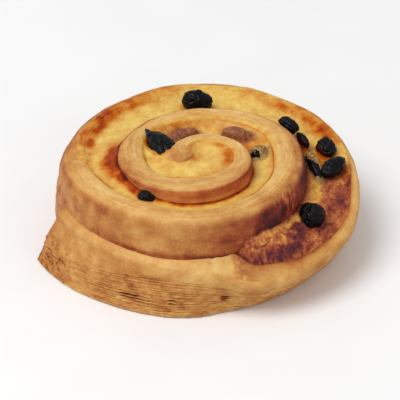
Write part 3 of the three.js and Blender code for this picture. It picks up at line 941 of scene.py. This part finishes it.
def bits_share(points, turn, share, arc, to_wall):
    """Pale bits of pastry and custard on the caramel, beside the wet strip."""
    bits = noise(warped_strip(points, arc, to_wall), (2.6, 1.1, 1), 57)
    where = smooth(turn, 2.6, 2.63) * hump(share, 0.34, 0.2)
    return smooth(bits, 0.12, 0.34) * where


def custard_relief(points, turn, share, arc, to_wall, to_rim):
    """The custard's skin: soft dimples, wrinkled caramel at the right, a rise to the dough beside it."""
    warped = warped_strip(points, arc, to_wall)
    wrinkles = 0.5 * noise(points, 4, 47) + 0.16 * noise(points, 1.5, 48)
    wrinkles = wrinkles + 0.45 * sharp(warped, (5.5, 3, 1), 43)
    skin = 0.16 * noise(points, 6, 45) + 0.06 * noise(points, 2.2, 46) + caramel_share(turn) * wrinkles
    skin = skin + 0.35 * sharp(warped, STRAND_SIZE, STRAND_SEED) * tongue_share(points, turn, share)
    skin = skin + 0.45 * bits_share(points, turn, share, arc, to_wall)
    softness = along(RIM_BLEND, turn)
    missing = np.maximum(ridge_height(turn) - 0.2 - points[..., 2], 0)
    at_rim = fade(to_rim, 0.8 + 1.2 * softness) * softness
    skin = skin * (1 - 0.7 * at_rim) + missing * at_rim
    return skin + 0.5 * fade(to_wall, 0.9) + 0.4 * round_raisins(points, 1.6)


def plain_brown(points, turn, share, to_wall, to_rim):
    """How brown the plain custard is: mottled, with browner places and lines along the dough."""
    brown = 0.19 + 0.13 * rough(points, 8, 3, 51) + 0.08 * noise(points, 2.2, 52)
    ragged = 1 + 0.5 * rough(points, 4.5, 2, 53)
    for where, at, half_length, half_width, amount in CUSTARD_PLACES:
        patch = hump(turn, where, half_length) * hump(share, at, half_width)
        brown = brown + amount * np.clip(patch * ragged, 0, 1.1)
    brown = np.minimum(brown, 0.82 + 0.08 * noise(points, 3, 59))
    rim_line = along(RIM_LINE, turn) * fade(to_rim, 0.35)
    # Painted shade: the custard is darkened along the foot of the lap inside it.
    wall_shade_line = along(WALL_SHADE, turn) * fade(to_wall, 0.45)
    # The custard is darkened round each raisin: a painted shadow.
    return brown + 0.4 * rim_line + 0.34 * wall_shade_line + 0.2 * round_raisins(points, 1.1)


def caramel_brown(points, turn, share, arc, to_wall):
    """How brown the caramel is: dark mottling, the darker tongue, and the paler wet strip and bits."""
    warped = warped_strip(points, arc, to_wall)
    tongue = tongue_share(points, turn, share)
    caramel = 0.54 + 0.27 * rough(warped, (6, 3.4, 1), 3, 56) + 0.1 * noise(warped, (1.8, 1.2, 1), 60)
    caramel = caramel + 0.14 * hump(turn, 2.53, 0.03) * hump(share, 0.8, 0.14)
    caramel = caramel + 0.3 * hump(turn, 2.48, 0.04) * hump(share, 1, 0.16)
    tongue_tone = 0.88 + 0.12 * noise(warped, (3, 2, 1), 64)
    caramel = mix(caramel, tongue_tone, 0.85 * tongue)
    # Painted highlight: the tongue's raised strands are painted paler on their ridges.
    strand_highlight = smooth(sharp(warped, STRAND_SIZE, STRAND_SEED), 0.3, 0.9) * hump(turn, 2.672, 0.016)
    caramel = caramel - 0.3 * strand_highlight * tongue
    wet_tone = mix(0.08, 0.2, smooth(turn, 2.54, 2.64)) + 0.08 * rough(points, 2.5, 2, 63)
    caramel = mix(caramel, wet_tone, wet_share(points, turn, share))
    caramel = mix(caramel, 0.13, 0.75 * bits_share(points, turn, share, arc, to_wall))
    # Painted shade: the caramel is darkened along the foot of the lap inside it.
    caramel_wall_shade = fade(to_wall, 0.4 + 1.1 * hump(turn, 2.52, 0.06))
    # The caramel is darkened round each raisin: a painted shadow.
    return caramel + 0.55 * caramel_wall_shade + 0.2 * round_raisins(points, 1.2)


def custard_brown(points, turn, share, arc, to_wall, to_rim):
    """How brown the custard is, from 0 for pale yellow to 1 for nearly black."""
    plain = plain_brown(points, turn, share, to_wall, to_rim)
    return mix(plain, caramel_brown(points, turn, share, arc, to_wall), caramel_share(turn))


def custard_strip():
    """The custard between two laps, from the end of the first turn to where the tail closes it."""
    turn, arc = ring_turns(
        1, CUSTARD_LAST_TURN, lambda t: (outer_edge(t - 1) + inner_edge(t)) / 2, CUSTARD_STEP
    )
    t = turn[:, None]
    wall = wall_radius(t)
    rim = np.maximum(inner_edge(t), wall + 1)
    radius = mix(wall - UNDER_DOUGH, rim + UNDER_DOUGH, np.linspace(0, 1, CUSTARD_COLUMNS)[None, :])
    share = (radius - wall) / (rim - wall)
    to_wall, to_rim = radius - wall, rim - radius
    t = np.broadcast_to(t, radius.shape)
    arc = np.broadcast_to(arc[:, None], radius.shape)
    sunk = POOL_OVERLAP_DEPTH * (1 - smooth(t, 1, 1 + POOL_OVERLAP))
    points = place(t, radius, strip_level(t, share) - sunk)
    lift = custard_relief(points, t, share, arc, to_wall, to_rim)
    brown = custard_brown(points, t, share, arc, to_wall, to_rim)
    points[..., 2] += lift
    over_raisins(points)
    wall_foot = wall[:, 0] - UNDER_DOUGH
    outside = ridge_middle(turn)
    rim_foot = np.minimum(outside, foot_radius(turn, outside) - SHEET_AT_FOOT * 0.5)
    rim_foot = np.maximum(np.minimum(rim_foot, rim[:, 0] + UNDER_DOUGH), wall_foot + 0.5)
    under = [mix(rim_foot, wall_foot, s) for s in np.linspace(0, 1, UNDER_RINGS)]
    return closed_strip(turn, points, under, brown, caramel_share(t))


def closed_strip(turn, points, under, brown, caramel):
    """The custard's top closed by its underside, whose radii are in under, and by flat ends: as points,
    faces and values."""
    film, olive = film_shares(points)
    base = [place(turn, radius, np.zeros_like(turn))[:, None] for radius in under]
    rings = np.concatenate([points] + base, axis=1)
    pad = [(0, 0), (0, len(under))]
    fields = {"caramel": caramel, "film": film, "olive": olive}
    fields = {key: np.pad(value, pad) for key, value in fields.items()}
    fields["brown"] = np.pad(brown, pad, constant_values=UNDERSIDE_BROWN)
    count, columns = rings.shape[:2]
    faces = [tuple(f) for f in tube_faces(count, columns).tolist()]
    faces.append(tuple(range(columns))[::-1])
    faces.append(tuple(range((count - 1) * columns, count * columns)))
    return rings.reshape(-1, 3), faces, {key: value.ravel() for key, value in fields.items()}


POOL_STEPS = 300
POOL_RINGS = 56
HOOK_STEPS = 90
HOOK_LAST_TURN = 0.3


def from_hook(points, turn, radius):
    """How far pool points are from the ridge's inner end, how high that is, which points it curls round,
    and the turn of the ridge nearest to each."""
    line = np.linspace(FIRST_TURN, HOOK_LAST_TURN, HOOK_STEPS)
    half = ridge_half(line) * tip_share(line)
    at = place(line, ridge_middle(line), 0.0)
    away = np.hypot(points[..., None, 0] - at[:, 0], points[..., None, 1] - at[:, 1]) - half
    nearest = away.argmin(axis=-1)
    distance = np.maximum(np.take_along_axis(away, nearest[..., None], -1)[..., 0], 0)
    inside = (turn > 1 + FIRST_TURN) & (radius < ridge_middle(turn - 1))
    top = ridge_height(line) - TIP_DROP * (1 - tip_share(line))
    return distance, top[nearest], inside, line[nearest]


def pool_top(turn, radius):
    """The pool's level: a shallow dish, its own level at the edge, and the strip's level at the seam."""
    dish = POOL_DISH * (1 - smooth(radius, 0, POOL_DISH_RADIUS))
    to_edge = smooth(radius, POOL_DISH_RADIUS, 2 * POOL_DISH_RADIUS)
    level = POOL_LEVEL - dish + (along(POOL_EDGE, turn) - POOL_LEVEL) * to_edge
    wall = wall_radius(turn)
    share = (radius - wall) / (np.maximum(inner_edge(turn), wall + 1) - wall)
    at_seam = smooth(turn, 1.02, 1 + POOL_OVERLAP) * smooth(radius, wall - 1, wall + 1)
    return mix(level, strip_level(turn, share), at_seam)


def custard_pool():
    """The pool in the middle of the first turn, out to the dough round it."""
    turn = np.linspace(POOL_OVERLAP - 0.03, POOL_OVERLAP + 1, POOL_STEPS + 1)
    t = turn[:, None]
    reach = np.minimum(ridge_middle(t), inner_edge(t) + UNDER_DOUGH)
    radius = reach * np.linspace(0, 1, POOL_RINGS)[None, :]
    t = np.broadcast_to(t, radius.shape)
    arc = t * 2 * np.pi * radius
    points = place(t, radius, pool_top(t, radius))
    to_hook, hook_top, in_hook, beside = from_hook(points, t, radius)
    own_turn = np.where(in_hook, t - 1, t)
    in_first_turn = in_hook | (t < 1 + FIRST_TURN)
    wall = np.where(in_first_turn, 0, wall_radius(t))
    share = (radius - wall) / (inner_edge(own_turn) - wall)
    to_rim = inner_edge(own_turn) - radius
    lift = custard_relief(points, own_turn, share, arc, to_hook, to_rim)
    brown = custard_brown(points, own_turn, share, arc, to_hook, to_rim)
    points[..., 2] += lift
    fill = fade(to_hook, HOOK_REACH) * np.where(in_first_turn, 1, 0.4)
    fill = fill * smooth(beside, -0.1, 0.05)
    points[..., 2] += fill * np.maximum(hook_top - 0.3 - points[..., 2], 0)
    beside_tip = np.maximum(in_hook, 1 - smooth(radius, 4, 7))
    brown = brown + (0.04 + 0.26 * beside_tip) * fade(to_hook, 2.4)
    over_raisins(points)
    under = [reach[:, 0] * s for s in np.linspace(1, 0, UNDER_RINGS)]
    return closed_strip(turn, points, under, brown, np.zeros_like(brown))


def make_custard():
    strip, strip_faces, strip_fields = custard_strip()
    pool, pool_faces, pool_fields = custard_pool()
    faces = strip_faces + [tuple(i + len(strip) for i in f) for f in pool_faces]
    fields = {key: np.concatenate([strip_fields[key], pool_fields[key]]) for key in strip_fields}
    points = np.concatenate([strip, pool])
    points[:, 2] = np.maximum(points[:, 2], 0)
    return new_piece("custard_baked", points, faces, fields, "custard_filling")


# The raisins.


def ball(levels):
    """An even ball of triangles, as unit points and faces."""
    work = bmesh.new()
    bmesh.ops.create_icosphere(work, subdivisions=levels, radius=1)
    work.verts.ensure_lookup_table()
    points = np.array([v.co for v in work.verts])
    faces = [tuple(v.index for v in f.verts) for f in work.faces]
    work.free()
    return points, faces


BALL, BALL_FACES = ball(5)
PULL_SHARPNESS = 4
# A raisin's folds in millimetres, and how deep they are as a share of its half size.
FOLD_WIDTH = 2.0
FOLD_LENGTH = 3.6
FOLD_DEPTH = 0.85 / 3


def make_raisin(number, raisin):
    """A dried raisin: a lumpy ball with sharp folds running mostly along it, smoother under custard."""
    size = np.array(raisin["half"], float)
    cover = raisin["cover"]
    seed = 100 + 7 * number
    outward = BALL / size
    outward /= np.linalg.norm(outward, axis=1, keepdims=True)
    lump = 0.1 * noise(BALL, 0.9, seed) + 0.05 * noise(BALL, 0.5, seed + 1)
    real = BALL * size
    stretch = np.full(3, FOLD_WIDTH)
    stretch[np.argmax(size)] = FOLD_LENGTH
    bent = real + 0.5 * np.stack([noise(real, 2.4, seed + k) for k in (2, 3, 4)], -1)
    fold = np.clip(sharp(bent, stretch, seed + 5), 0, 1) ** 1.5
    small = np.clip(sharp(bent, stretch * 0.45, seed + 6), -0.5, 1)
    depth = (0.5 * fold + 0.14 * small) * (1 - 0.8 * cover) * FOLD_DEPTH * size.min()
    shape = real * (1 + lump)[:, None] + outward * (0.12 - depth)[:, None]
    turned = lean_of(raisin)
    facing = outward @ turned.T
    placed = shape @ turned.T + raisin_middle(raisin)
    for x, y, z, amount in raisin.get("pulls", []):
        towards = np.array([x, y, z]) / np.linalg.norm([x, y, z])
        pulled = amount * np.clip(facing @ towards, 0, 1) ** PULL_SHARPNESS
        placed = placed + pulled[:, None] * towards
    up = facing[:, 2] + 0.5 * noise(placed, 2.6, seed + 8)
    skin = smooth(up, 0.9 - 1.5 * cover, 1.2 - 1.3 * cover) * float(cover > 0)
    if "bare" in raisin:
        aside = (placed - raisin_middle(raisin))[:, :2] @ np.array(raisin["bare"]) / size[1]
        aside = aside - raisin.get("bare_from", 0)
        skin = skin * (1 - smooth(aside + 0.4 * noise(placed, 1.6, seed + 10), -0.3, 0.2))
    name = f"raisin_{number:02d}"
    red = raisin.get("red", 0) * smooth(noise(placed, 6, seed + 9) - up * 0.4, -0.5, 0.1)
    # crease carries the folds, which the material paints nearly black as painted shade.
    fields = {"crease": np.clip(fold, 0, 1), "skin": skin, "red": red}
    return new_piece(f"{name}_baked", placed, BALL_FACES, fields, name)


# The materials.


def srgb(*channels):
    """A colour given as it looks on screen, 0 to 255, in the renderer's own scale."""
    c = np.array(channels, float) / 255
    return tuple(np.where(c <= 0.04045, c / 12.92, ((c + 0.055) / 1.055) ** 2.4)) + (1.0,)


def new_material(name):
    material = bpy.data.materials.new(name)
    material.use_nodes = True
    material.node_tree.nodes.clear()
    return material, material.node_tree


def add(tree, kind, inputs=(), **settings):
    """A node of that kind. inputs pairs a socket's name or number with a value or with a socket to link."""
    made = tree.nodes.new("ShaderNode" + kind)
    for key, value in settings.items():
        setattr(made, key, value)
    for key, value in dict(inputs).items():
        if isinstance(value, bpy.types.NodeSocket):
            tree.links.new(value, made.inputs[key])
        else:
            made.inputs[key].default_value = value
    return made


def attribute(tree, name):
    return add(tree, "Attribute", attribute_name=name).outputs["Fac"]


def plus(tree, a, b, clamp=False):
    return add(tree, "Math", {0: a, 1: b}, operation="ADD", use_clamp=clamp).outputs[0]


def times(tree, a, b):
    return add(tree, "Math", {0: a, 1: b}, operation="MULTIPLY").outputs[0]


def texture(tree, vector, scale, detail=3.0, roughness=0.55):
    inputs = {"Vector": vector, "Scale": scale, "Detail": detail, "Roughness": roughness}
    return add(tree, "TexNoise", inputs).outputs["Fac"]


def spread(tree, value, low, high, to_low, to_high):
    """value carried from one range to another."""
    inputs = {"Value": value, 1: low, 2: high, 3: to_low, 4: to_high}
    return add(tree, "MapRange", inputs).outputs[0]


def ramp(tree, value, stops):
    made = add(tree, "ValToRGB", {"Fac": value})
    points = made.color_ramp.elements
    while len(points) < len(stops):
        points.new(0.5)
    for point, (position, colour) in zip(points, stops):
        point.position = position
        point.color = srgb(*colour)
    return made.outputs["Color"]


def blend(tree, share, a, b):
    """Colour a where share is 0 and b where it is 1. A colour mix has its sockets at these numbers."""
    return add(tree, "Mix", {0: share, 6: a, 7: b}, data_type="RGBA").outputs[2]


def millimetres(tree):
    """The place on the piece, in millimetres."""
    metres = add(tree, "TexCoord").outputs["Object"]
    return add(tree, "VectorMath", {0: metres, "Scale": 1 / MM}, operation="SCALE").outputs[0]


def finish_material(tree, colour, roughness, height, bump, gloss):
    """The shader itself. bump is the fine relief's strength and its depth in millimetres."""
    inputs = {"Strength": bump[0], "Distance": bump[1] * MM, "Height": height}
    normal = add(tree, "Bump", inputs).outputs["Normal"]
    inputs = {"Base Color": colour, "Roughness": roughness, "Normal": normal, "Specular IOR Level": gloss}
    made = add(tree, "BsdfPrincipled", inputs)
    output = add(tree, "OutputMaterial")
    tree.links.new(made.outputs[0], output.inputs["Surface"])


# Colours as they look on screen, by how brown the place is.
DOUGH_STOPS = [
    (0.0, (236, 202, 138)),
    (0.15, (224, 180, 106)),
    (0.3, (209, 156, 86)),
    (0.45, (192, 131, 66)),
    (0.6, (169, 102, 47)),
    (0.75, (136, 64, 20)),
    (0.9, (94, 40, 15)),
    (1.0, (56, 24, 13)),
]
RED_STOPS = [
    (0.0, (232, 186, 122)),
    (0.3, (206, 132, 74)),
    (0.5, (182, 90, 50)),
    (0.7, (148, 54, 36)),
    (0.85, (104, 34, 26)),
    (1.0, (60, 22, 20)),
]
CUSTARD_STOPS = [
    (0.0, (240, 212, 112)),
    (0.2, (227, 183, 88)),
    (0.38, (212, 150, 62)),
    (0.54, (198, 112, 26)),
    (0.7, (178, 78, 12)),
    (0.86, (144, 48, 8)),
    (1.0, (84, 30, 12)),
]
CARAMEL_STOPS = [
    (0.0, (242, 194, 84)),
    (0.2, (224, 158, 64)),
    (0.4, (190, 110, 60)),
    (0.6, (152, 76, 50)),
    (0.76, (118, 54, 48)),
    (0.9, (86, 44, 50)),
    (1.0, (60, 34, 42)),
]

# The skin over covered raisins, and the skin of raisins that it touches.
MAUVE_STOPS = [(0.3, (80, 42, 32)), (0.5, (134, 82, 58)), (0.7, (172, 118, 88))]
OLIVE_STOPS = [(0.3, (84, 60, 32)), (0.5, (140, 110, 60)), (0.7, (204, 176, 120))]


def dough_material():
    material, tree = new_material("baked dough")
    at = millimetres(tree)
    arc, girth = attribute(tree, "arc"), attribute(tree, "girth")
    crest, flaky = attribute(tree, "crest"), attribute(tree, "flaky")
    unrolled = add(tree, "CombineXYZ", {0: times(tree, arc, 0.2), 1: girth}).outputs[0]
    lines = texture(tree, unrolled, 1.2, 3.0)
    fine = texture(tree, at, 1.1, 4.0)
    broad = texture(tree, at, 0.22, 3.0)
    speckle = texture(tree, at, 2.6, 2.0)
    brown = attribute(tree, "brown")
    brown = plus(tree, brown, spread(tree, fine, 0.3, 0.7, -0.05, 0.05))
    brown = plus(tree, brown, spread(tree, broad, 0.3, 0.7, -0.05, 0.05))
    line_tone = times(tree, spread(tree, lines, 0.35, 0.65, -0.06, 0.06), crest)
    brown = plus(tree, brown, line_tone)
    flake_tone = times(tree, spread(tree, lines, 0.35, 0.65, -0.12, 0.12), flaky)
    brown = plus(tree, brown, flake_tone)
    specks = times(tree, spread(tree, speckle, 0.62, 0.75, 0.0, 0.14), flaky)
    brown = plus(tree, brown, specks, clamp=True)
    golden = ramp(tree, brown, DOUGH_STOPS)
    reddish = ramp(tree, brown, RED_STOPS)
    red = plus(tree, attribute(tree, "red"), spread(tree, broad, 0.35, 0.65, -0.1, 0.1), clamp=True)
    colour = blend(tree, red, golden, reddish)
    colour = blend(tree, attribute(tree, "cream"), colour, ramp(tree, brown, CUSTARD_STOPS))
    roughness = spread(tree, fine, 0.3, 0.7, 0.45, 0.62)
    relief = plus(tree, times(tree, lines, plus(tree, crest, flaky)), fine)
    finish_material(tree, colour, roughness, relief, (0.5, 0.25), 0.2)
    return material


def custard_material():
    material, tree = new_material("baked custard")
    at = millimetres(tree)
    fine = texture(tree, at, 0.9, 4.0)
    small = texture(tree, at, 2.2, 3.0)
    caramel = attribute(tree, "caramel")
    swing = plus(tree, times(tree, caramel, 0.08), 0.07)
    stir = times(tree, spread(tree, fine, 0.3, 0.7, -1.0, 1.0), swing)
    brown = plus(tree, attribute(tree, "brown"), stir)
    grain = times(tree, spread(tree, small, 0.3, 0.7, -0.5, 0.5), swing)
    brown = plus(tree, brown, grain, clamp=True)
    plain = ramp(tree, brown, CUSTARD_STOPS)
    burnt = ramp(tree, brown, CARAMEL_STOPS)
    colour = blend(tree, caramel, plain, burnt)
    mauve, olive = ramp(tree, fine, MAUVE_STOPS), ramp(tree, fine, OLIVE_STOPS)
    stain = blend(tree, attribute(tree, "olive"), mauve, olive)
    film = times(tree, attribute(tree, "film"), 0.85)
    colour = blend(tree, film, colour, stain)
    roughness = spread(tree, small, 0.3, 0.7, 0.3, 0.5)
    relief = plus(tree, fine, times(tree, small, 0.5))
    gloss = spread(tree, brown, 0.3, 0.6, 0.35, 0.06)
    finish_material(tree, colour, roughness, relief, (0.4, 0.3), gloss)
    return material


def raisin_material(name, skin_stops):
    material, tree = new_material(name)
    at = millimetres(tree)
    fine = texture(tree, at, 1.8, 4.0)
    broad = texture(tree, at, 0.5, 2.0)
    dark = ramp(tree, fine, [(0.3, (4, 4, 7)), (0.5, (8, 8, 13)), (0.72, (22, 24, 38))])
    warm = ramp(tree, fine, [(0.3, (34, 7, 10)), (0.6, (80, 22, 20)), (0.8, (122, 58, 48))])
    red = plus(tree, attribute(tree, "red"), spread(tree, broad, 0.5, 0.72, -0.3, 0.5), clamp=True)
    colour = blend(tree, red, dark, warm)
    # Painted shade: the raisin's folds are painted nearly black.
    colour = blend(tree, attribute(tree, "crease"), colour, srgb(4, 3, 5))
    colour = blend(tree, attribute(tree, "skin"), colour, ramp(tree, fine, skin_stops))
    roughness = spread(tree, fine, 0.3, 0.7, 0.16, 0.3)
    finish_material(tree, colour, roughness, fine, (0.6, 0.3), 0.14)
    return material


make_dough().data.materials.append(dough_material())
make_custard().data.materials.append(custard_material())
bare_or_olive = raisin_material("raisin", OLIVE_STOPS)
mauve = raisin_material("raisin under skin", MAUVE_STOPS)
for number, raisin in enumerate(RAISINS, start=1):
    piece = make_raisin(number, raisin)
    piece.data.materials.append(mauve if raisin.get("skin") == "mauve" else bare_or_olive)


# The floor and the lights, in metres and watts, and the camera, in millimetres.

FLOOR_HALF = 3.0
FLOOR_STEPS = 8
FLOOR_HEIGHT = -0.0001
WORLD_STRENGTH = 0.52
LIGHT_SIZE = 1.0
LIGHT_AIM = (0, 0, 0.02)
LIGHTS = {"key": ((-0.7, -0.35, 1.35), 14.5), "fill": ((0.9, -0.9, 0.9), 2)}


def make_floor():
    material, tree = new_material("pale floor")
    grain = texture(tree, millimetres(tree), 0.02, 2.0)
    colour = ramp(tree, grain, [(0.3, (246, 246, 246)), (0.7, (250, 250, 250))])
    finish_material(tree, colour, 0.7, grain, (0.05, 0.1), 0.5)
    edge = np.linspace(-FLOOR_HALF, FLOOR_HALF, FLOOR_STEPS)
    x, y = np.meshgrid(edge, edge)
    points = np.stack([x, y, np.full_like(x, FLOOR_HEIGHT)], -1).reshape(-1, 3)
    corner = (np.arange(FLOOR_STEPS - 1)[:, None] * FLOOR_STEPS + np.arange(FLOOR_STEPS - 1)).ravel()
    faces = np.stack([corner, corner + 1, corner + FLOOR_STEPS + 1, corner + FLOOR_STEPS], -1)
    mesh = bpy.data.meshes.new("floor")
    mesh.from_pydata(points.tolist(), [], faces.tolist())
    mesh.materials.append(material)
    floor = bpy.data.objects.new("floor", mesh)
    bpy.context.scene.collection.objects.link(floor)


def make_light(name, where, power):
    lamp = bpy.data.lights.new(name, "AREA")
    lamp.shape = "DISK"
    lamp.size = LIGHT_SIZE
    lamp.energy = power
    light = bpy.data.objects.new(name, lamp)
    light.location = where
    light.rotation_euler = (Vector(LIGHT_AIM) - Vector(where)).to_track_quat("-Z", "Y").to_euler()
    bpy.context.scene.collection.objects.link(light)


def make_world():
    world = bpy.data.worlds.new("studio")
    world.use_nodes = True
    background = world.node_tree.nodes["Background"]
    background.inputs["Color"].default_value = (1, 1, 1, 1)
    background.inputs["Strength"].default_value = WORLD_STRENGTH
    bpy.context.scene.world = world


CAMERA_ELEVATION = np.radians(34)
CAMERA_DISTANCE = 500
CAMERA_TARGET = np.array([0.3, -1.2, 13.5])
MM_PER_PIXEL = 0.35
PICTURE_PIXELS = 400
SENSOR_WIDTH = 36
CAMERA_CLIP = (0.01, 20)


def make_camera():
    data = bpy.data.cameras.new("camera")
    data.sensor_width = SENSOR_WIDTH
    data.lens = SENSOR_WIDTH * CAMERA_DISTANCE / (MM_PER_PIXEL * PICTURE_PIXELS)
    data.clip_start, data.clip_end = CAMERA_CLIP
    camera = bpy.data.objects.new("camera", data)
    forward = np.array([0, np.cos(CAMERA_ELEVATION), -np.sin(CAMERA_ELEVATION)])
    camera.location = (CAMERA_TARGET - forward * CAMERA_DISTANCE) * MM
    camera.rotation_euler = Vector(forward).to_track_quat("-Z", "Y").to_euler()
    bpy.context.scene.collection.objects.link(camera)
    bpy.context.scene.camera = camera


make_floor()
make_world()
for name, (where, power) in LIGHTS.items():
    make_light(name, where, power)
make_camera()
bpy.context.scene.view_settings.view_transform = "Standard"
